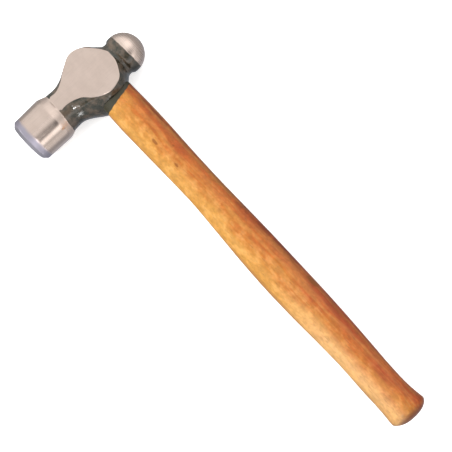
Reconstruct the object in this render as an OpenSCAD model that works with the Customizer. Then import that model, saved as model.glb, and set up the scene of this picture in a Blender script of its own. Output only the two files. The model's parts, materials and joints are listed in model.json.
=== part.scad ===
// Ball peen hammer, 500 g class, lying on its side.
// X runs along the handle towards the butt, Y along the head towards the ball,
// Z up through the thickness. The origin is under the middle of its box.

/* [Head] */
// Diameter of the striking face's cylinder
poll_d = 33.4; // [31:0.2:34.4]
// Handle axis to the striking face
face_reach = 64.5; // [60:0.5:70]
// Length of the cylinder behind the face, with its chamfer
poll_len = 24.5; // [20:0.5:26]
// Diameter of the ball
ball_d = 28.3; // [26:0.1:29.6]
// Handle axis to the ball's tip
ball_reach = 36.5; // [35:0.5:40]
// Height of the boss round the eye, along the handle
boss_d = 48.4; // [46:0.2:52]
// Thickness between the two ground cheeks
cheek_t = 26.6; // [24:0.2:27.4]

/* [Eye] */
// Length of the eye, along the head
eye_len = 23.2; // [21:0.2:24]
// Width of the eye, across the head
eye_w = 16; // [14:0.2:17]

/* [Handle] */
// Head's axis to the end of the butt
handle_reach = 299.5; // [280:1:340]
// Width of the handle where it leaves the eye
shoulder_w = 24.8; // [24.2:0.1:27]
// Width of the handle at its waist
waist_w = 22.6; // [20:0.1:24]
// Width of the handle at its swell
swell_w = 25.6; // [24:0.1:28]
// Width of the handle at the grip's neck
grip_w = 21.9; // [20:0.1:24]
// Width of the bell at the butt
butt_w = 24.4; // [22:0.1:27]

/* [Wedges] */
// Thickness of the wooden wedge at its top
wood_wedge_t = 3; // [2:0.1:4]
// Thickness of the steel wedge at its top
steel_wedge_t = 2.2; // [1.6:0.1:3]

/* [Hidden] */
$fn = 96;
eps = 0.01;

// Head, as radii and stations along the head's own axis
poll_r = poll_d / 2;
face_r = poll_r - 3;
chamfer_len = 2.8;
cone_len = 3.6;
neck_r = 14.05;
neck_end = -30;
neck_round = 20;
ball_r = ball_d / 2;
ball_y = ball_reach - ball_r;
throat_r = 12.7;
throat_y = ball_y - 4.8;
ball_start = ball_y - 2.3;
boss_r = boss_d / 2;
boss_y = 0;
boss_round = 12;
left_slope = 27;
right_slope = 46;
throat_round = 5;
cheek_start = -34;
cheek_end = 18.5;

// Top of the head along X, used to place the whole part on its box
top_x = -boss_r + 1.4;
mid_x = (top_x + handle_reach) / 2;
mid_y = (ball_reach - face_reach) / 2;
flush = 0.4;

// Handle stations: place along X, half width, half thickness, roundness
shoulder_x = 23.2;
stations = [
    [shoulder_x, eye_len / 2, eye_w / 2, 2.3],
    [shoulder_x + 8, shoulder_w / 2, 8.8, 2.3],
    [0.17 * handle_reach, shoulder_w / 2 - 0.1, 8.8, 2.3],
    [0.37 * handle_reach, waist_w / 2, 8.2, 2.2],
    [0.60 * handle_reach, swell_w / 2, 10.0, 2.3],
    [0.72 * handle_reach, swell_w / 2 - 0.4, 10.0, 2.3],
    [0.86 * handle_reach, grip_w / 2 + 0.1, 9.3, 2.2],
    [0.95 * handle_reach, grip_w / 2, 9.4, 2.2],
    [handle_reach - 5.5, butt_w / 2, 10.4, 2.2]
];
dome_len = 5.5;
ring_points = 40;
steps = 5;

// An arc of a profile: points [radius, station] about a centre
function arc(cr, cy, r, from, to, n = 8) =
    [for (i = [0 : n])
        let (a = from + (to - from) * i / n)
        [cr + r * cos(a), cy + r * sin(a)]];

// The head's turned profile from the face to the ball, grown by g
function head_profile(g = 0) = concat(
    [[0, -face_reach - g]],
    [[face_r + g, -face_reach - g]],
    [[poll_r + g, -face_reach + chamfer_len]],
    [[poll_r + g, -face_reach + poll_len]],
    [[neck_r + 0.6 + g, -face_reach + poll_len + cone_len]],
    arc(neck_r + neck_round + g, neck_end, neck_round, 180, 180 - left_slope),
    arc(boss_r - boss_round + g, boss_y, boss_round, -left_slope, right_slope),
    arc(throat_r + throat_round + g, throat_y, throat_round, 180 + right_slope, 180),
    [[ball_r - 0.25 + g, ball_start]],
    [[0, ball_start]]
);

// Axis along Y, the profile's stations kept as Y
module turned(g = 0) {
    rotate([-90, 0, 0])
        rotate_extrude()
            polygon(head_profile(g));
}

module ball() {
    intersection() {
        translate([0, ball_y, 0])
            sphere(r = ball_r);
        translate([-ball_r, ball_start - eps, -ball_r])
            cube([ball_d, ball_d, ball_d]);
    }
}

// Oval of the eye, drawn across the handle's axis
module eye_section() {
    off = (eye_len - eye_w) / 2;
    square([eye_w, 2 * off], center = true);
    for (s = [-1, 1])
        translate([0, s * off])
            circle(d = eye_w);
}

// The eye's oval as a bar from x = a to x = b
module eye_bar(a, b) {
    translate([a, 0, 0])
        rotate([0, 90, 0])
            linear_extrude(b - a)
                eye_section();
}

// What the two ground cheeks take away
module cheek_cut() {
    for (s = [-1, 1])
        translate([-40, cheek_start, s > 0 ? cheek_t / 2 : -cheek_t / 2 - 20])
            cube([80, cheek_end - cheek_start, 20]);
}

// The flat that the top of the boss is ground to
module top_cut() {
    translate([top_x - 10, -30, -30])
        cube([10, 60, 60]);
}

module head_blank() {
    difference() {
        turned();
        cheek_cut();
        top_cut();
    }
}

// The tenon's full space in the eye, with a top that follows the boss
module tenon_space() {
    intersection() {
        eye_bar(top_x + flush, shoulder_x);
        union() {
            turned(-flush);
            eye_bar(0, shoulder_x);
        }
    }
}

// A wedge whose edges lie along the second axis
module wedge(top, tip, t_top, t_tip, length) {
    rotate([90, 0, 0])
        linear_extrude(length, center = true)
            polygon([
                [top, -t_top / 2], [tip, -t_tip / 2],
                [tip, t_tip / 2], [top, t_top / 2]
            ]);
}

module wood_wedge_space() {
    wedge(top_x - 2, top_x + 19, wood_wedge_t, 0.6, 40);
}

module steel_wedge_space() {
    translate([0, boss_y, 0])
        rotate([90, 0, 0])
            wedge(top_x - 1, top_x + 14, steel_wedge_t, 0.4, 11);
}

// Smooth path through the stations, between station k and the next
function ease(t) = t * t * (3 - 2 * t);
function between(k, t) =
    let (a = stations[k], b = stations[k + 1])
    [a[0] + (b[0] - a[0]) * t, for (j = [1 : 3]) a[j] + (b[j] - a[j]) * ease(t)];
last = len(stations) - 1;
dome = [for (i = [1 : 5])
    let (a = i * 17)
    [handle_reach - dome_len + dome_len * sin(a),
        stations[last][1] * cos(a) + 2 * sin(a) * cos(a),
        stations[last][2] * cos(a) + 2 * sin(a) * cos(a), 2.2]];
rings = concat(
    [for (k = [0 : last - 1]) for (i = [0 : steps - 1]) between(k, i / steps)],
    [stations[last]],
    dome
);

// One ring of the shaft: a rounded oval of the given half sizes
function power(c, n) = sign(c) * pow(abs(c), 2 / n);
function ring(s) =
    [for (i = [0 : ring_points - 1])
        let (a = 360 * i / ring_points)
        [s[0], s[1] * power(cos(a), s[3]), s[2] * power(sin(a), s[3])]];

module shaft() {
    n = ring_points;
    m = len(rings);
    points = [for (s = rings) each ring(s)];
    sides = [for (k = [0 : m - 2]) for (i = [0 : n - 1])
        let (j = (i + 1) % n)
        [k * n + i, (k + 1) * n + i, (k + 1) * n + j, k * n + j]];
    start = [[for (i = [0 : n - 1]) i]];
    end = [[for (i = [n - 1 : -1 : 0]) (m - 1) * n + i]];
    polyhedron(points, concat(sides, start, end));
}

module placed() {
    translate([-mid_x, -mid_y, poll_r])
        children();
}

module head() {
    color([0.55, 0.52, 0.48])
        placed()
            difference() {
                union() {
                    head_blank();
                    ball();
                }
                eye_bar(-40, 40);
            }
}

module handle() {
    color([0.82, 0.52, 0.26])
        placed() {
            difference() {
                tenon_space();
                wood_wedge_space();
                steel_wedge_space();
            }
            shaft();
        }
}

module wood_wedge() {
    color([0.72, 0.5, 0.3])
        placed()
            difference() {
                intersection() {
                    tenon_space();
                    wood_wedge_space();
                }
                steel_wedge_space();
            }
}

module steel_wedge() {
    color([0.5, 0.5, 0.5])
        placed()
            intersection() {
                tenon_space();
                steel_wedge_space();
            }
}

head();
handle();
wood_wedge();
steel_wedge();
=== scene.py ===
"""A ball peen hammer lying on its side on a white floor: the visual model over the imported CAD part."""
import json
import math

import bmesh
import bpy
import numpy as np
from mathutils import Matrix, Vector


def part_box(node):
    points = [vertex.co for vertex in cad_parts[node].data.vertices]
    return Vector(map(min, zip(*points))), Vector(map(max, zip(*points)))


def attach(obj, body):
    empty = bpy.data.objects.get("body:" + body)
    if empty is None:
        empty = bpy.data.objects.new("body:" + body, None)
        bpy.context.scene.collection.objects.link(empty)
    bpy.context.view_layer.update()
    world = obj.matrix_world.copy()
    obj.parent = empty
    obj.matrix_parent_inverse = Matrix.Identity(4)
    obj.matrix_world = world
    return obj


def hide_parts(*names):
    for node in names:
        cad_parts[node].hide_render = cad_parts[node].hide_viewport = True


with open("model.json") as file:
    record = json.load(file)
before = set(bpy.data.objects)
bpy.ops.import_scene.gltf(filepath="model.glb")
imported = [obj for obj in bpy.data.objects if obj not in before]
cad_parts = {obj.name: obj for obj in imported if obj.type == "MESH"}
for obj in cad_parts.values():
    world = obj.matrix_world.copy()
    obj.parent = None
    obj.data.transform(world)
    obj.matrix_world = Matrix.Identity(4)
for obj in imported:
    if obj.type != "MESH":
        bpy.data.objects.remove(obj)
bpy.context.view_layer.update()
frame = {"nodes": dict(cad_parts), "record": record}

MM = 0.001

# Places from the frame, in metres: the head's axis, its middle plane and the handle's axis
mounts = {m["name"]: m for m in frame["record"]["mounts"]}
head_hi = Vector(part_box("head")[1])
handle_lo, handle_hi = (Vector(v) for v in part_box("handle"))
HEAD_X, FACE_Y, MID_Z = mounts["striking_face"]["pos_m"]
AXIS_Y = (handle_lo.y + handle_hi.y) / 2
CENTRE = Vector((HEAD_X, AXIS_Y, MID_Z))

# Sizes from the frame, in millimetres about CENTRE: x to the butt, y to the ball, z up
FACE = (AXIS_Y - FACE_Y) / MM
BALL_TIP = (head_hi.y - AXIS_Y) / MM
REACH = (handle_hi.x - HEAD_X) / MM
POLL_R = mounts["poll"]["dims"]["r_mm"]
CHEEK = (mounts["upper_cheek"]["pos_m"][2] - MID_Z) / MM
BOSS = (head_hi.x - HEAD_X) / MM

# The head, in millimetres
BALL_R = 14.15
BALL_Y = BALL_TIP - BALL_R
BALL_EDGE = 2.3
NECK_R = 14.05
THROAT_R = 12.7
PEAK_Y = 2.8
PEAK_R = 27.04
EYE_LEN = 23.2
EYE_W = 16.0
EYE_LIP = 0.6
CHEEK_SOFT = 0.35
CHEEK_START = -34.5
CHEEK_END = 18.0
TWIST = 0.17
SKIRT = 2.4
HEAD_COLUMNS = 320

# The lens's focal length, in picture widths
FOCAL_WIDTHS = 2.21239

# The handle, in millimetres
SHAFT_START = 24.0
BELL = 5.2
HANDLE_COLUMNS = 112

# Where the paint ends: towards the face, towards the ball, and on the wood
PAINT_FRONT = -36.2
PAINT_BALL = 24.2
PAINT_ON_WOOD = 22.8

# Colours, linear
STEEL_PALE = (0.79, 0.645, 0.565, 1)
STEEL_DEEP = (0.71, 0.575, 0.50, 1)
STEEL_MARKS = (0.54, 0.445, 0.38, 1)
STEEL_CHEEK = (0.52, 0.42, 0.355, 1)
STEEL_STRUCK_AND_BLUE_REFLECTION = (0.43, 0.405, 0.475, 1)
STEEL_FACE_AND_BLUE_REFLECTION = (0.54, 0.52, 0.585, 1)
PAINT_BLACK = (0.016, 0.018, 0.009, 1)
PAINT_WARM = (0.110, 0.078, 0.052, 1)
PAINT_THIN = (0.050, 0.047, 0.031, 1)
WOOD_YELLOW = (0.66, 0.315, 0.062, 1)
WOOD_AMBER = (0.56, 0.182, 0.025, 1)
WOOD_RED_AND_SHADE = (0.43, 0.072, 0.014, 1)
WOOD_PAINTED_SHADE = (0.12, 0.024, 0.012, 1)
WOOD_FLUSH = (0.62, 0.125, 0.022, 1)
WOOD_WINE = (0.38, 0.040, 0.014, 1)
WOOD_PAINTED_SHEEN = (0.84, 0.53, 0.26, 1)
WOOD_RING = (0.66, 0.34, 0.085, 1)
WOOD_PALE = (0.76, 0.44, 0.150, 1)
WOOD_FIBRE = (0.29, 0.09, 0.022, 1)
WOOD_PORE = (0.20, 0.06, 0.016, 1)
WOOD_PAINTED_EDGE_SHADE = (0.33, 0.135, 0.045, 1)
WOOD_FLECK = (0.24, 0.070, 0.010, 1)
WOOD_END = (0.17, 0.045, 0.016, 1)
WOOD_SAWN = (0.34, 0.2, 0.1, 1)
WEDGE_PALE = (0.52, 0.34, 0.17, 1)
WEDGE_DARK = (0.28, 0.16, 0.08, 1)
MILD_STEEL = (0.36, 0.34, 0.32, 1)
MILD_SCALE = (0.16, 0.13, 0.11, 1)


# ---------------------------------------------------------------- mesh helpers
def smoothstep(a, b, x):
    t = np.clip((x - a) / (b - a), 0, 1)
    return t * t * (3 - 2 * t)


def soft_min(a, b, k):
    """The lesser of a and b, with the corner between them rounded over k."""
    h = np.clip(0.5 + 0.5 * (b - a) / k, 0, 1)
    return b + (a - b) * h - k * h * (1 - h)


def corner_arc(before, here, after, radius, step):
    """Points of the arc that rounds the corner at here."""
    a = (before - here) / np.linalg.norm(before - here)
    b = (after - here) / np.linalg.norm(after - here)
    half = math.acos(np.clip(a @ b, -1, 1)) / 2
    middle = (a + b) / np.linalg.norm(a + b)
    centre = here + middle * radius / math.sin(half)
    u = (here + a * radius / math.tan(half) - centre) / radius
    w = (here + b * radius / math.tan(half) - centre) / radius
    sweep = math.acos(np.clip(u @ w, -1, 1))
    count = max(4, math.ceil(radius * sweep / step))
    points = []
    for t in np.linspace(0, 1, count + 1):
        turned = math.sin((1 - t) * sweep) * u + math.sin(t * sweep) * w
        points.append(centre + radius * turned / math.sin(sweep))
    return points


def rounded_path(corners, step):
    """Points along a path of (along, radius, fillet) corners, its corners turned into arcs."""
    places = [np.array(corner[:2], float) for corner in corners]
    points = [places[0]]
    for i in range(1, len(corners) - 1):
        points += corner_arc(places[i - 1], places[i], places[i + 1], corners[i][2], step)
    points.append(places[-1])
    dense = [points[0]]
    for point in points[1:]:
        start = dense[-1]
        gap = np.linalg.norm(point - start)
        if gap < 1e-4:
            continue
        count = max(1, math.ceil(gap / step))
        dense += [start + (point - start) * (k + 1) / count for k in range(count)]
    return np.array(dense)


def to_world(points_mm):
    return points_mm * MM + np.array(CENTRE)


def add_piece(name, verts, faces):
    """A new object in the scene, from its corners in metres and its faces."""
    mesh = bpy.data.meshes.new(name)
    mesh.from_pydata([tuple(v) for v in verts], [], faces)
    piece = bpy.data.objects.new(name, mesh)
    bpy.context.scene.collection.objects.link(piece)
    return piece


def skin(name, rings, material):
    """A closed skin over rings of equal length; its first and last rings shrink to one point each."""
    rows, cols = rings.shape[:2]
    body = rings[1:-1].reshape(-1, 3)
    ends = np.array([rings[0].mean(axis=0), rings[-1].mean(axis=0)])
    start, end = len(body), len(body) + 1
    around = [(j, (j + 1) % cols) for j in range(cols)]
    faces = []
    for i in range(rows - 3):
        low, high = i * cols, (i + 1) * cols
        faces += [(low + j, low + k, high + k, high + j) for j, k in around]
    top = (rows - 3) * cols
    for j, k in around:
        faces.append((start, k, j))
        faces.append((end, top + j, top + k))
    piece = add_piece(name, np.vstack([body, ends]), faces)
    piece.data.materials.append(material)
    return piece


def prism(name, outline, low, high, axis):
    """A closed bar over a 2-D outline, from low to high along the given axis, in mm about CENTRE."""
    n = len(outline)
    place = {
        "x": lambda a, b, t: (t, a, b),
        "y": lambda a, b, t: (a, t, b),
    }[axis]
    points = np.array([place(a, b, t) for t in (low, high) for a, b in outline])
    faces = [tuple(range(n))[::-1], tuple(range(n, 2 * n))]
    faces += [(i, (i + 1) % n, n + (i + 1) % n, n + i) for i in range(n)]
    piece = add_piece(name, to_world(points), faces)
    bm = bmesh.new()
    bm.from_mesh(piece.data)
    bmesh.ops.recalc_face_normals(bm, faces=bm.faces)
    bm.to_mesh(piece.data)
    bm.free()
    return piece


def cut(piece, tool):
    """Takes the tool's volume away from the piece for good, and removes the tool."""
    mod = piece.modifiers.new("cut", "BOOLEAN")
    mod.operation = "DIFFERENCE"
    mod.solver = "EXACT"
    mod.object = tool
    deps = bpy.context.evaluated_depsgraph_get()
    mesh = bpy.data.meshes.new_from_object(piece.evaluated_get(deps))
    piece.modifiers.clear()
    old = piece.data
    piece.data = mesh
    mesh.name = piece.name
    bpy.data.meshes.remove(old)
    bpy.data.objects.remove(tool)


def finish_piece(piece, node, crease):
    """Shades the piece smooth up to a crease angle in degrees and puts it in its CAD node's place."""
    piece.data.polygons.foreach_set("use_smooth", [True] * len(piece.data.polygons))
    piece.data.set_sharp_from_angle(angle=math.radians(crease))
    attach(piece, "root")
    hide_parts(node)


# ---------------------------------------------------------------- the head
def eye_oval(count):
    """The eye's oval as (y, z) points: two half circles joined by straight sides."""
    r, off = EYE_W / 2, (EYE_LEN - EYE_W) / 2
    angles = [2 * math.pi * i / count for i in range(count)]
    return [(r * math.cos(a) + math.copysign(off, math.cos(a)), r * math.sin(a)) for a in angles]


def outside_eye(y, z):
    """How far (y, z) is outside the eye's oval, in mm; negative inside it."""
    off = (EYE_LEN - EYE_W) / 2
    return np.hypot(np.maximum(np.abs(y) - off, 0), z) - EYE_W / 2


def ball_radius(from_middle):
    """Radius of the ball's section this far along y from its middle."""
    return math.sqrt(BALL_R ** 2 - from_middle ** 2)


def head_profile(step):
    """(station along y, radius) from the middle of the face to the ball's tip."""
    left = math.radians(26.7)
    right = math.radians(47.0)
    corners = [
        (-FACE, 0, 0),
        (-FACE, POLL_R - 3.2, 0.9),
        (-FACE + 2.7, POLL_R - 0.5, 1.3),
        (-40.8, POLL_R - 0.02, 8.0),
        (-35.4, NECK_R + 0.6, 3.0),
        (PEAK_Y - (PEAK_R - NECK_R) / math.tan(left), NECK_R, 28.0),
        (PEAK_Y, PEAK_R, 12.4),
        (PEAK_Y + (PEAK_R - THROAT_R) / math.tan(right), THROAT_R, 2.6),
        (BALL_Y - 4.0, THROAT_R + 0.05, 0.5),
        (BALL_Y - 2.5, ball_radius(2.5), 0.25),
        (BALL_Y - BALL_EDGE, ball_radius(BALL_EDGE), 0),
    ]
    start = math.acos(-BALL_EDGE / BALL_R)
    count = int(BALL_R * start / step)
    angles = start * (1 - np.arange(1, count + 1) / count)
    ball = np.column_stack([BALL_Y + BALL_R * np.cos(angles), BALL_R * np.sin(angles)])
    return np.vstack([rounded_path(corners, step), ball])


def head_surface(profile):
    """The head's skin in mm: a turned body, fuller by the handle, with ground cheeks and eased mouths."""
    angles = np.linspace(0, 2 * np.pi, HEAD_COLUMNS, endpoint=False)
    y = np.repeat(profile[:, :1], HEAD_COLUMNS, axis=1)

    # The skirt fills the flank where the handle leaves the head
    side = smoothstep(math.cos(math.radians(54)), math.cos(math.radians(33)), -np.cos(angles))
    flank = smoothstep(-31, -12, y) * (1 - smoothstep(-10, 3, y))
    radius = profile[:, 1:] + SKIRT * side * flank
    x = -radius * np.cos(angles)
    z = radius * np.sin(angles)

    # The cheeks are ground flat, and their outlines lean opposite ways on the two faces
    in_boss = smoothstep(CHEEK_START - 0.8, CHEEK_START + 0.8, y)
    in_boss = in_boss * (1 - smoothstep(CHEEK_END - 0.5, CHEEK_END + 0.5, y))
    ground = np.sign(z) * soft_min(np.abs(z), CHEEK, CHEEK_SOFT)
    z = z + (ground - z) * in_boss
    swing = smoothstep(-32, -20, y) * (1 - smoothstep(13.5, 21, y))
    y = y + TWIST * x * (z / CHEEK) * swing

    # The eye's mouths have a small rounded lip
    lip = np.clip(EYE_LIP - outside_eye(y, z), 0, EYE_LIP)
    drop = EYE_LIP - np.sqrt(np.maximum(EYE_LIP ** 2 - lip ** 2, 0))
    x = x - np.sign(x) * drop * smoothstep(12, 15, np.abs(x))
    return np.stack([np.clip(x, -BOSS, BOSS), y, z], axis=-1)


def make_head(material):
    piece = skin("head_forging", to_world(head_surface(head_profile(0.45))), material)
    cut(piece, prism("eye_tool", eye_oval(96), -40, 40, "x"))
    finish_piece(piece, "head", 38)


# ---------------------------------------------------------------- the handle
def stations():
    """Place along x, half width, half thickness, sideways offset and roundness of the shaft."""
    return np.array([
        (SHAFT_START, 12.35, 8.5, -0.05, 2.3),
        (36.0, 12.65, 8.9, 0.0, 2.3),
        (56.0, 12.5, 8.8, 0.25, 2.3),
        (84.0, 11.8, 8.4, 0.4, 2.25),
        (111.0, 11.4, 8.3, 0.6, 2.2),
        (138.0, 12.05, 8.9, 0.35, 2.2),
        (164.0, 12.75, 9.7, 0.0, 2.25),
        (187.0, 12.9, 10.1, -0.15, 2.3),
        (210.0, 12.6, 10.0, 0.1, 2.3),
        (232.0, 11.85, 9.6, 0.4, 2.25),
        (252.0, 11.2, 9.3, 0.3, 2.2),
        (270.0, 11.0, 9.2, -0.2, 2.2),
        (284.0, 11.05, 9.3, -0.1, 2.2),
        (290.0, 11.5, 9.8, 0.1, 2.2),
        (REACH - BELL, 11.95, 10.3, 0.3, 2.2),
    ])


def spline(table, x):
    """Smooth values through the table's rows at x, by Catmull-Rom tangents."""
    k = np.clip(np.searchsorted(table[:, 0], x) - 1, 0, len(table) - 2)
    slopes = np.gradient(table[:, 1:], table[:, 0], axis=0)
    x0, x1 = table[k, 0], table[k + 1, 0]
    gap = (x1 - x0)[:, None]
    t = ((x - x0) / (x1 - x0))[:, None]
    start = (2 * t ** 3 - 3 * t ** 2 + 1) * table[k, 1:]
    start_slope = (t ** 3 - 2 * t ** 2 + t) * slopes[k] * gap
    end = (3 * t ** 2 - 2 * t ** 3) * table[k + 1, 1:]
    end_slope = (t ** 3 - t ** 2) * slopes[k + 1] * gap
    return start + start_slope + end + end_slope


def shaft_ring(half_w, half_t, offset, power, angles):
    """(y, z) round the shaft: an oval between an ellipse and a rounded box."""
    c, s = np.cos(angles), np.sin(angles)
    y = np.sign(c) * np.abs(c) ** (2 / power) * half_w
    z = np.sign(s) * np.abs(s) ** (2 / power) * half_t
    return y + offset, z


def boss_height(y, z):
    """How far the boss reaches along x over a point of the eye."""
    profile = head_profile(0.6)
    order = np.argsort(profile[:, 0])
    radius = np.interp(y, profile[order, 0], profile[order, 1])
    return np.sqrt(np.maximum(radius ** 2 - z ** 2, 1))


def tenon_top(y, z):
    """The tenon's end, 1 mm below the boss over the eye."""
    return 1.0 - np.minimum(boss_height(y, z), BOSS)


def ring(x, y, z):
    return np.stack([x + np.zeros_like(y), y, z], axis=-1)


def tenon_rings(rim_y, rim_z, mouth):
    """The tenon, from the middle of its end to the eye's mouth."""
    rings = []
    for s in np.linspace(0, 1, 15)[:-1]:
        y, z = rim_y * s, rim_z * s
        rings.append(ring(tenon_top(y, z), y, z))
    edge = tenon_top(rim_y * 0.985, rim_z * 0.985) + 0.25
    for t in np.linspace(0, 1, 24):
        rings.append(ring(edge + (mouth - edge) * t, rim_y, rim_z))
    return rings


def shoulder_rings(rim_y, rim_z, mouth, full_y, full_z):
    """The shoulder, where the tenon widens to the shaft below the eye's mouth."""
    rings = []
    for t in np.linspace(0, 1, 10)[1:-1]:
        x = mouth + (SHAFT_START - mouth) * t
        grow = smoothstep(0.0, 2.6, x - mouth)
        rings.append(ring(x, rim_y + (full_y - rim_y) * grow, rim_z + (full_z - rim_z) * grow))
    return rings


def bell_rings(half_w, half_t, offset, power, angles):
    """The butt's rounded end, a little shorter on the side away from the ball."""
    rings = []
    for a in np.radians(np.linspace(0, 90, 19)[1:]):
        shrink = math.cos(a) ** 0.8
        y, z = shaft_ring(half_w * shrink, half_t * shrink, 0, power, angles)
        x = REACH - BELL + BELL * math.sin(a) ** 1.15 - 0.6 * smoothstep(3, 12, -y) * math.sin(a)
        rings.append(ring(x, y + offset, z))
    return rings


def handle_surface():
    """The handle's skin in mm: the tenon, its shoulder at the eye's mouth, the shaft and the bell."""
    angles = np.linspace(0, 2 * np.pi, HANDLE_COLUMNS, endpoint=False) + 1e-4
    rim_y, rim_z = np.array(eye_oval(HANDLE_COLUMNS)).T
    table = stations()
    mouth = boss_height(rim_y, rim_z) - 0.8
    rings = tenon_rings(rim_y, rim_z, mouth)
    rings += shoulder_rings(rim_y, rim_z, mouth, *shaft_ring(*table[0, 1:], angles))
    places = np.linspace(SHAFT_START, REACH - BELL, 190)
    for x, row in zip(places, spline(table, places)):
        rings.append(ring(x, *shaft_ring(*row, angles)))
    rings += bell_rings(*table[-1, 1:], angles)
    return np.array(rings)


def make_handle(material):
    piece = skin("handle_shaft", to_world(handle_surface()), material)
    kerf = [(-26, -1.55), (-4, -0.3), (-4, 0.3), (-26, 1.55)]
    cut(piece, prism("kerf_tool", kerf, -20, 20, "y"))
    finish_piece(piece, "handle", 40)


# ---------------------------------------------------------------- materials
class Nodes:
    """A short hand for building a node material. Lengths in it are millimetres about CENTRE."""

    def __init__(self, name):
        self.mat = bpy.data.materials.new(name)
        self.mat.use_nodes = True
        self.tree = self.mat.node_tree
        self.bsdf = self.tree.nodes["Principled BSDF"]

    def put(self, socket, value):
        """Links a socket to a node's output, or sets it to a constant."""
        if isinstance(value, bpy.types.NodeSocket):
            self.tree.links.new(value, socket)
        else:
            socket.default_value = value

    def shade(self, **values):
        """Sets the shader's inputs, named with underscores for spaces."""
        for key, value in values.items():
            self.put(self.bsdf.inputs[key.replace("_", " ")], value)

    def math(self, op, a, b=0.0, c=0.0):
        node = self.tree.nodes.new("ShaderNodeMath")
        node.operation = op
        for socket, value in zip(node.inputs, (a, b, c)):
            self.put(socket, value)
        return node.outputs[0]

    def times(self, a, b):
        return self.math("MULTIPLY", a, b)

    def line(self, value, slope, start):
        """value * slope + start."""
        return self.math("MULTIPLY_ADD", value, slope, start)

    def between(self, factor, a, b):
        """a where the factor is 0, b where it is 1."""
        return self.math("ADD", self.times(factor, self.math("SUBTRACT", b, a)), a)

    def step(self, value, low, high):
        """0 at low and beyond, 1 at high and beyond, smooth between; low may be the greater."""
        node = self.tree.nodes.new("ShaderNodeMapRange")
        node.interpolation_type = "SMOOTHSTEP"
        self.put(node.inputs[0], value)
        node.inputs[1].default_value = low
        node.inputs[2].default_value = high
        return node.outputs[0]

    def mix(self, factor, a, b, amount=1.0):
        """Colour a where the factor is 0; b, by the amount, where it is 1."""
        if amount < 1.0:
            factor = self.times(factor, amount)
        node = self.tree.nodes.new("ShaderNodeMix")
        node.data_type = "RGBA"
        self.put(node.inputs[0], factor)
        self.put(node.inputs[6], a)
        self.put(node.inputs[7], b)
        return node.outputs[2]

    def scaled(self, vec, factor):
        """A vector, or a colour, times a factor."""
        node = self.tree.nodes.new("ShaderNodeVectorMath")
        node.operation = "SCALE"
        self.put(node.inputs[0], vec)
        self.put(node.inputs["Scale"], factor)
        return node.outputs[0]

    def coords(self):
        """The place in millimetres about CENTRE: the vector, then x, y and z."""
        place = self.tree.nodes.new("ShaderNodeTexCoord")
        move = self.tree.nodes.new("ShaderNodeVectorMath")
        move.operation = "SUBTRACT"
        self.put(move.inputs[0], place.outputs["Object"])
        self.put(move.inputs[1], CENTRE)
        vec = self.scaled(move.outputs[0], 1 / MM)
        split = self.tree.nodes.new("ShaderNodeSeparateXYZ")
        self.put(split.inputs[0], vec)
        return (vec, *split.outputs)

    def noise(self, vec, sizes, detail=2.0, rough=0.5):
        """Noise with features of the given sizes along x, y and z."""
        stretch = self.tree.nodes.new("ShaderNodeMapping")
        self.put(stretch.inputs[0], vec)
        stretch.inputs["Scale"].default_value = [1 / s for s in sizes]
        return self.plain_noise(stretch.outputs[0], detail, rough)

    def plain_noise(self, vec, detail, rough):
        node = self.tree.nodes.new("ShaderNodeTexNoise")
        self.put(node.inputs["Vector"], vec)
        node.inputs["Scale"].default_value = 1.0
        node.inputs["Detail"].default_value = detail
        node.inputs["Roughness"].default_value = rough
        return node.outputs[0]

    def bump(self, height, distance, normal=None):
        node = self.tree.nodes.new("ShaderNodeBump")
        node.inputs["Strength"].default_value = 1.0
        node.inputs["Distance"].default_value = distance
        self.put(node.inputs["Height"], height)
        if normal is not None:
            self.put(node.inputs["Normal"], normal)
        return node.outputs[0]


def ground_cheek(n, x, y, z, wave):
    """1 on the two ground cheeks, which end in a narrow strip at the neck."""
    height = n.line(wave, 0.10, n.math("ABSOLUTE", z))
    cheek = n.times(n.step(height, CHEEK - 0.42, CHEEK - 0.24), n.step(y, 16.2, 15.4))
    flare = n.math("MAXIMUM", n.math("ADD", y, 33.0), 0.0)
    waist = n.line(flare, -1.5, n.math("ABSOLUTE", x))
    return n.times(cheek, n.step(waist, 6.1, 5.5))


def bare_ends(n, x, y, z, wave):
    """1 on the polished poll and ball, up to the paint's wavy edges."""
    upper = n.math("MAXIMUM", z, 0.0)
    brink = n.line(upper, -0.17, n.line(wave, 0.5, y))
    poll = n.step(brink, PAINT_FRONT + 0.25, PAINT_FRONT - 0.25)
    lean = n.line(x, -0.07, y)
    ball = n.step(n.math("ADD", lean, wave), PAINT_BALL - 0.3, PAINT_BALL + 0.3)
    return n.math("MAXIMUM", poll, ball)


def steel_colour(n, vec, y, marks, cheek, struck):
    tone = n.noise(vec, (14, 9, 14), 3, 0.6)
    steel = n.mix(n.step(tone, 0.3, 0.7), STEEL_PALE, STEEL_DEEP)
    steel = n.mix(n.step(marks, 0.40, 0.8), steel, STEEL_MARKS, 0.30)
    steel = n.mix(cheek, steel, STEEL_CHEEK, 0.25)
    # The struck edge and the face: a duller, greyer ground finish, tinted lavender as a painted
    # reflection of bluish light from below
    steel = n.mix(struck, steel, STEEL_STRUCK_AND_BLUE_REFLECTION)
    return n.mix(n.step(y, 3.3 - FACE, 2.3 - FACE), steel, STEEL_FACE_AND_BLUE_REFLECTION)


def steel_roughness(n, y, marks, cheek, struck):
    """Polished cylinder, duller cone and ball, satin cheeks and struck edge."""
    rough = n.line(n.step(y, -40.4, -38.4), 0.24, 0.10)
    rough = n.line(n.step(y, 10.0, 20.0), -0.12, rough)
    rough = n.between(struck, rough, 0.50)
    rough = n.between(cheek, rough, 0.27)
    return n.line(marks, 0.10, rough)


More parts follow.
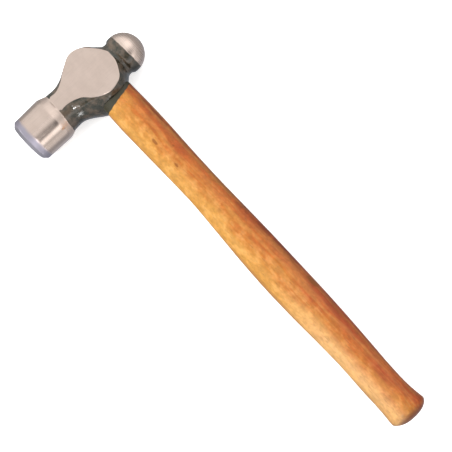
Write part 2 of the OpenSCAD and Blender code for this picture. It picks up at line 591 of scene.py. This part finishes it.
def head_relief(n, vec, marks, bare):
    """Fine tool marks on bare steel, cast lumps under the paint, and the paint's edge."""
    fine = n.times(marks, bare)
    peel = n.noise(vec, (1.6, 1.6, 1.6))
    cast = n.noise(vec, (6, 6, 6))
    lumps = n.line(cast, 3.5, n.times(peel, 0.35))
    lumps = n.times(lumps, n.math("SUBTRACT", 1.0, bare))
    relief = n.bump(fine, 0.00002)
    relief = n.bump(lumps, 0.00014, relief)
    return n.bump(n.times(bare, -1.0), 0.00006, relief)


def steel_and_paint():
    """Ground and polished steel on the poll, cheeks and ball; black gloss paint between."""
    n = Nodes("head_steel_and_paint")
    vec, x, y, z = n.coords()
    wave = n.line(n.noise(vec, (5, 5, 5)), 1.2, -0.6)
    cheek = ground_cheek(n, x, y, z, wave)
    bare = n.math("MAXIMUM", bare_ends(n, x, y, z, wave), cheek)
    struck = n.step(n.math("ADD", y, wave), 8.0 - FACE, 5.2 - FACE)

    turned = n.noise(vec, (60, 0.35, 60), 3, 0.6)
    ground = n.noise(vec, (0.5, 9, 9), 3, 0.6)
    marks = n.mix(cheek, turned, ground)
    fog = n.noise(vec, (6, 6, 6), 3, 0.6)
    paint = n.mix(n.step(fog, 0.35, 0.68), PAINT_BLACK, PAINT_WARM)
    paint_rough = n.line(fog, 0.20, 0.08)
    n.shade(
        Base_Color=n.mix(bare, paint, steel_colour(n, vec, y, marks, cheek, struck)),
        Metallic=bare,
        Roughness=n.between(bare, paint_rough, steel_roughness(n, y, marks, cheek, struck)),
        Specular_IOR_Level=0.85,
        Normal=head_relief(n, vec, marks, bare),
    )
    return n.mat


def growth_rings(n, vec, x, y, z):
    """The wood's long wavy figure."""
    warp = n.noise(vec, (45, 14, 14))
    comb = n.tree.nodes.new("ShaderNodeCombineXYZ")
    n.put(comb.inputs[0], n.times(x, 0.014))
    n.put(comb.inputs[1], n.times(n.line(warp, 7.0, y), 0.40))
    n.put(comb.inputs[2], n.times(z, 0.30))
    return n.plain_noise(comb.outputs[0], 3, 0.55)


def wood_ground(n, vec, x, y):
    """The wood's broad tones: yellow on the face's side and red on the ball's, partly a real tone and
    partly painted shade; painted shade on the ball's edge, and a pale painted sheen on the grip's face
    side.
    """
    cloud = n.noise(vec, (24, 9, 9))
    across = n.line(n.math("SUBTRACT", cloud, 0.5), 16.0, y)
    across = n.line(n.step(x, 120.0, 280.0), 3.4, across)
    # Yellow on the face's side to red on the ball's: partly a real tone of the wood, partly painted shade
    # that deepens the ball's side, away from the light
    col = n.mix(n.step(across, -9.0, 3.0), WOOD_YELLOW, WOOD_AMBER)
    col = n.mix(n.step(across, 0.0, 12.0), col, WOOD_RED_AND_SHADE, 0.85)
    # Painted shade: the long edge on the ball's side is darkened towards its rim, where the light falls
    # away
    col = n.mix(n.step(y, 8.0, 12.4), col, WOOD_PAINTED_SHADE, 0.7)
    blotch = n.noise(vec, (9, 5, 5), 3, 0.6)
    flush = n.times(n.step(blotch, 0.46, 0.62), n.step(y, -9.0, 5.0))
    col = n.mix(flush, col, WOOD_FLUSH, 0.42)
    wine = n.times(n.step(x, 165.0, 215.0), n.step(across, 5.5, 10.5))
    col = n.mix(wine, col, WOOD_WINE, 0.42)
    # Painted sheen: a pale band on the grip's face side towards the butt
    painted_sheen = n.times(n.step(x, 180.0, 245.0), n.step(y, 1.0, -6.5))
    return n.mix(painted_sheen, col, WOOD_PAINTED_SHEEN, 0.55)


def wood_figure(n, vec, x, y, z, col, mottle, fibre, pore):
    """Rings, mottle, speckle, fibres and pores over the broad tones."""
    rings = growth_rings(n, vec, x, y, z)
    col = n.mix(n.step(rings, 0.62, 0.38), col, WOOD_RING, 0.30)
    pale = n.times(n.step(mottle, 0.46, 0.68), n.step(y, 8.0, -4.0))
    col = n.mix(pale, col, WOOD_PALE, 0.30)
    speckle = n.noise(vec, (2.2, 1.5, 1.5))
    col = n.scaled(col, n.line(n.step(mottle, 0.30, 0.66), 0.17, 0.82))
    col = n.scaled(col, n.line(n.step(speckle, 0.28, 0.72), 0.16, 0.89))
    col = n.mix(n.step(fibre, 0.50, 0.80), col, WOOD_FIBRE, 0.28)
    return n.mix(pore, col, WOOD_PORE, 0.40)


def fleck(n, x, y, z, mottle, at_x, at_y, half_x, half_y):
    """A small dark fleck in the upper face of the wood, as a 0 to 1 mask."""
    a = n.times(n.math("SUBTRACT", x, at_x), 1 / half_x)
    b = n.times(n.math("SUBTRACT", y, at_y), 1 / half_y)
    far = n.math("ADD", n.times(a, a), n.times(b, b))
    mask = n.step(n.line(mottle, 1.2, far), 1.7, 0.9)
    return n.times(mask, n.step(z, 2.0, 3.0))


def wood_marks(n, x, y, z, col, mottle):
    """Painted shade along the long edge on the face's side near the butt, the four flecks and the darker
    end of the butt.
    """
    # Painted shade: the face side's long edge is darkened where the surface turns away, more towards the
    # butt
    edge_shade = n.line(n.step(x, 245.0, 268.0), -1.1, y)
    col = n.mix(n.step(edge_shade, -10.2, -12.4), col, WOOD_PAINTED_EDGE_SHADE, 0.52)
    flecks = [
        (66.7, -1.8, 3.4, 1.2),
        (77.5, 5.3, 1.3, 0.6),
        (89.0, -1.8, 2.2, 0.7),
        (203.0, 11.2, 5.0, 1.6),
    ]
    for spot in flecks:
        col = n.mix(fleck(n, x, y, z, mottle, *spot), col, WOOD_FLECK, 0.8)
    # The last few millimetres of the butt are darker
    return n.mix(n.step(x, REACH - 3.4, REACH - 0.8), col, WOOD_END, 0.72)


def dipped_in_paint(n, vec, x, y, z, sawn):
    """1 where the head's paint runs onto the wood, but not on the tenon's sawn end."""
    edge_noise = n.noise(vec, (3, 3, 3))
    along = n.math("ADD", n.line(y, 0.23, x), n.line(edge_noise, 1.4, -0.7))
    along = n.line(n.math("ABSOLUTE", z), -0.48, along)
    dipped = n.step(along, PAINT_ON_WOOD + 0.2, PAINT_ON_WOOD - 0.2)
    return n.times(dipped, n.math("SUBTRACT", 1.0, sawn))


def wood_relief(n, vec, fibre, pore, dipped):
    grain = n.line(pore, -1.2, n.times(fibre, 0.6))
    swell = n.noise(vec, (16, 6, 6), 1)
    relief = n.bump(grain, 0.00005)
    relief = n.bump(swell, 0.00030, relief)
    return n.bump(dipped, 0.00008, relief)


def varnished_wood():
    """Clear varnish over a warm hardwood, its grain along the handle, with black paint at the eye."""
    n = Nodes("handle_varnished_wood")
    vec, x, y, z = n.coords()
    mottle = n.noise(vec, (6.5, 4.4, 4.4))
    fibre = n.noise(vec, (22, 0.4, 0.4), 4, 0.6)
    pore = n.step(n.noise(vec, (5.5, 0.34, 0.34), 1), 0.64, 0.72)
    sawn = n.step(x, -14.0, -16.0)
    dipped = dipped_in_paint(n, vec, x, y, z, sawn)

    col = wood_ground(n, vec, x, y)
    col = wood_figure(n, vec, x, y, z, col, mottle, fibre, pore)
    col = wood_marks(n, x, y, z, col, mottle)
    col = n.mix(sawn, col, WOOD_SAWN, 0.5)
    n.shade(
        Base_Color=n.mix(dipped, col, PAINT_THIN),
        Roughness=n.line(sawn, 0.30, n.line(mottle, 0.16, 0.34)),
        Specular_IOR_Level=0.22,
        Coat_Weight=0.14,
        Coat_Roughness=0.22,
        Normal=wood_relief(n, vec, fibre, pore, dipped),
    )
    return n.mat


def wedge_wood():
    n = Nodes("wedge_sawn_wood")
    grain = n.noise(n.coords()[0], (8, 0.5, 0.5), 3, 0.6)
    n.shade(
        Base_Color=n.mix(n.step(grain, 0.35, 0.7), WEDGE_PALE, WEDGE_DARK),
        Roughness=n.line(grain, 0.2, 0.55),
        Normal=n.bump(grain, 0.00008),
    )
    return n.mat


def wedge_steel():
    n = Nodes("wedge_mild_steel")
    scale = n.noise(n.coords()[0], (1.5, 1.5, 1.5), 3, 0.6)
    n.shade(
        Base_Color=n.mix(n.step(scale, 0.35, 0.7), MILD_STEEL, MILD_SCALE),
        Metallic=1.0,
        Roughness=n.line(scale, 0.3, 0.35),
        Normal=n.bump(scale, 0.00006),
    )
    return n.mat


def dress(node, material):
    """Gives a CAD node that stays its finished material."""
    piece = frame["nodes"][node]
    for slot in piece.material_slots:
        slot.material = material


# ---------------------------------------------------------------- the stage
def floor():
    """A white light table: it glows a little, so shadows stay faint, and steel doesn't mirror it."""
    half = 40.0
    corners = [(-half, -half, 0), (half, -half, 0), (half, half, 0), (-half, half, 0)]
    piece = add_piece("floor", corners, [(0, 1, 2, 3)])
    n = Nodes("floor_white")
    n.shade(
        Base_Color=(0.95, 0.95, 0.95, 1),
        Roughness=0.8,
        Specular_IOR_Level=0.0,
        Emission_Color=(1, 1, 1, 1),
        Emission_Strength=0.6,
    )
    piece.data.materials.append(n.mat)
    piece.visible_glossy = False
    piece.visible_diffuse = False


def area_light(name, place, size, power, colour=(1, 1, 1), mirrored=True):
    """A square lamp aimed at the origin: one that steel mirrors, or one that lights plain surfaces."""
    data = bpy.data.lights.new(name, "AREA")
    data.energy = power
    data.color = colour
    data.size = size
    lamp = bpy.data.objects.new(name, data)
    lamp.location = place
    lamp.rotation_euler = (-Vector(place)).to_track_quat("-Z", "Y").to_euler()
    lamp.visible_glossy = mirrored
    lamp.visible_diffuse = not mirrored
    bpy.context.scene.collection.objects.link(lamp)


class Sky:
    """A short hand for the world's nodes."""

    def __init__(self, name):
        world = bpy.data.worlds.new(name)
        world.use_nodes = True
        bpy.context.scene.world = world
        self.tree = world.node_tree

    def node(self, kind, *values):
        """A new node with its first inputs linked or set."""
        made = self.tree.nodes.new(kind)
        for socket, value in zip(made.inputs, values):
            if isinstance(value, bpy.types.NodeSocket):
                self.tree.links.new(value, socket)
            else:
                socket.default_value = value
        return made

    def math(self, op, a, b=0.0):
        made = self.node("ShaderNodeMath", a, b)
        made.operation = op
        return made.outputs[0]

    def times(self, *values):
        product = values[0]
        for value in values[1:]:
            product = self.math("MULTIPLY", product, value)
        return product

    def plus(self, *values):
        total = values[0]
        for value in values[1:]:
            total = self.math("ADD", total, value)
        return total

    def ramp(self, value, low, high, start=0.0, end=1.0):
        """start below low, end above high, smooth between."""
        made = self.node("ShaderNodeMapRange", value, low, high, start, end)
        made.interpolation_type = "SMOOTHSTEP"
        return made.outputs[0]

    def strip(self, lean, near_low, near_high, far_low, far_high, height):
        """A long strip in line with the head, by its lean in degrees from straight up to the butt."""
        near = self.ramp(lean, near_low, near_high, 0.0, height)
        return self.times(near, self.ramp(lean, far_low, far_high, 1.0, 0.0))

    def spot(self, way, towards, height):
        """A small round light in one direction."""
        made = self.node("ShaderNodeVectorMath", way, Vector(towards).normalized())
        made.operation = "DOT_PRODUCT"
        return self.ramp(made.outputs["Value"], 0.993, 0.998, 0.0, height)


def studio():
    """The room round the table: white above, grey below, with long strips that the poll mirrors."""
    sky = Sky("studio")
    way = sky.node("ShaderNodeTexCoord").outputs["Generated"]
    x, y, z = sky.node("ShaderNodeSeparateXYZ", way).outputs
    lean = sky.math("DEGREES", sky.math("ARCTAN2", x, z))

    room = sky.plus(sky.ramp(z, -0.15, 0.40, 0.41, 0.95), sky.ramp(z, -0.85, -0.99, 0.0, 0.16))
    dark = sky.strip(lean, 20, 48, 56, 69, -0.72)
    bright = sky.strip(lean, 61, 74, 81, 94, 0.62)
    low = sky.strip(lean, 84, 104, 116, 138, 0.38)
    strips = sky.times(sky.plus(dark, bright, low), sky.ramp(y, 0.40, 0.80, 1.0, 0.30))
    pool = sky.times(
        sky.ramp(y, 0.25, 0.60, 0.0, 0.26),
        sky.ramp(z, 0.15, 0.45),
        sky.ramp(x, 0.20, 0.50, 1.0, 0.0),
    )
    glint = sky.spot(way, (0.88, -0.37, -0.29), 9.0)

    tint = sky.node("ShaderNodeMix", sky.ramp(z, -0.95, -0.35))
    tint.data_type = "RGBA"
    tint.inputs[6].default_value = (0.87, 0.91, 1.0, 1)
    tint.inputs[7].default_value = (1, 1, 1, 1)
    back = sky.tree.nodes["Background"]
    sky.tree.links.new(tint.outputs[2], back.inputs[0])
    sky.tree.links.new(sky.plus(room, strips, pool, glint), back.inputs[1])


def lights():
    studio()
    area_light("key", (-0.35, -1.15, 0.9), 0.7, 13, (1.0, 0.97, 0.93), False)
    area_light("fill", (-0.1, -0.1, 1.5), 1.0, 6, (1.0, 1.0, 1.0), False)
    area_light("glint_butt", (0.70, -0.43, 0.72), 0.13, 3.2)
    area_light("glint_face", (-0.85, -0.55, 0.85), 0.12, 0.4)
    area_light("glint_ball", (-0.16, 0.95, 0.82), 0.7, 0.42)


def camera():
    """The photograph's view: above the hammer and towards the butt, the head at the upper left."""
    place = CENTRE + Vector((0.3469, 0.0093, 0.5836))
    forward = Vector((-0.33647, -0.02273, -0.94146)).normalized()
    turn = math.radians(138.99)
    hint = Vector((math.cos(turn), math.sin(turn), 0))
    up = (hint - forward * hint.dot(forward)).normalized()
    right = forward.cross(up)
    data = bpy.data.cameras.new("camera")
    data.sensor_width = 36.0
    data.lens = FOCAL_WIDTHS * data.sensor_width
    data.clip_end = 20
    cam = bpy.data.objects.new("camera", data)
    cam.matrix_world = Matrix((
        (right.x, up.x, -forward.x, place.x),
        (right.y, up.y, -forward.y, place.y),
        (right.z, up.z, -forward.z, place.z),
        (0, 0, 0, 1),
    ))
    bpy.context.scene.collection.objects.link(cam)
    bpy.context.scene.camera = cam


camera()
lights()
floor()
make_head(steel_and_paint())
make_handle(varnished_wood())
dress("wood_wedge", wedge_wood())
dress("steel_wedge", wedge_steel())
bpy.context.scene.view_settings.view_transform = "Standard"
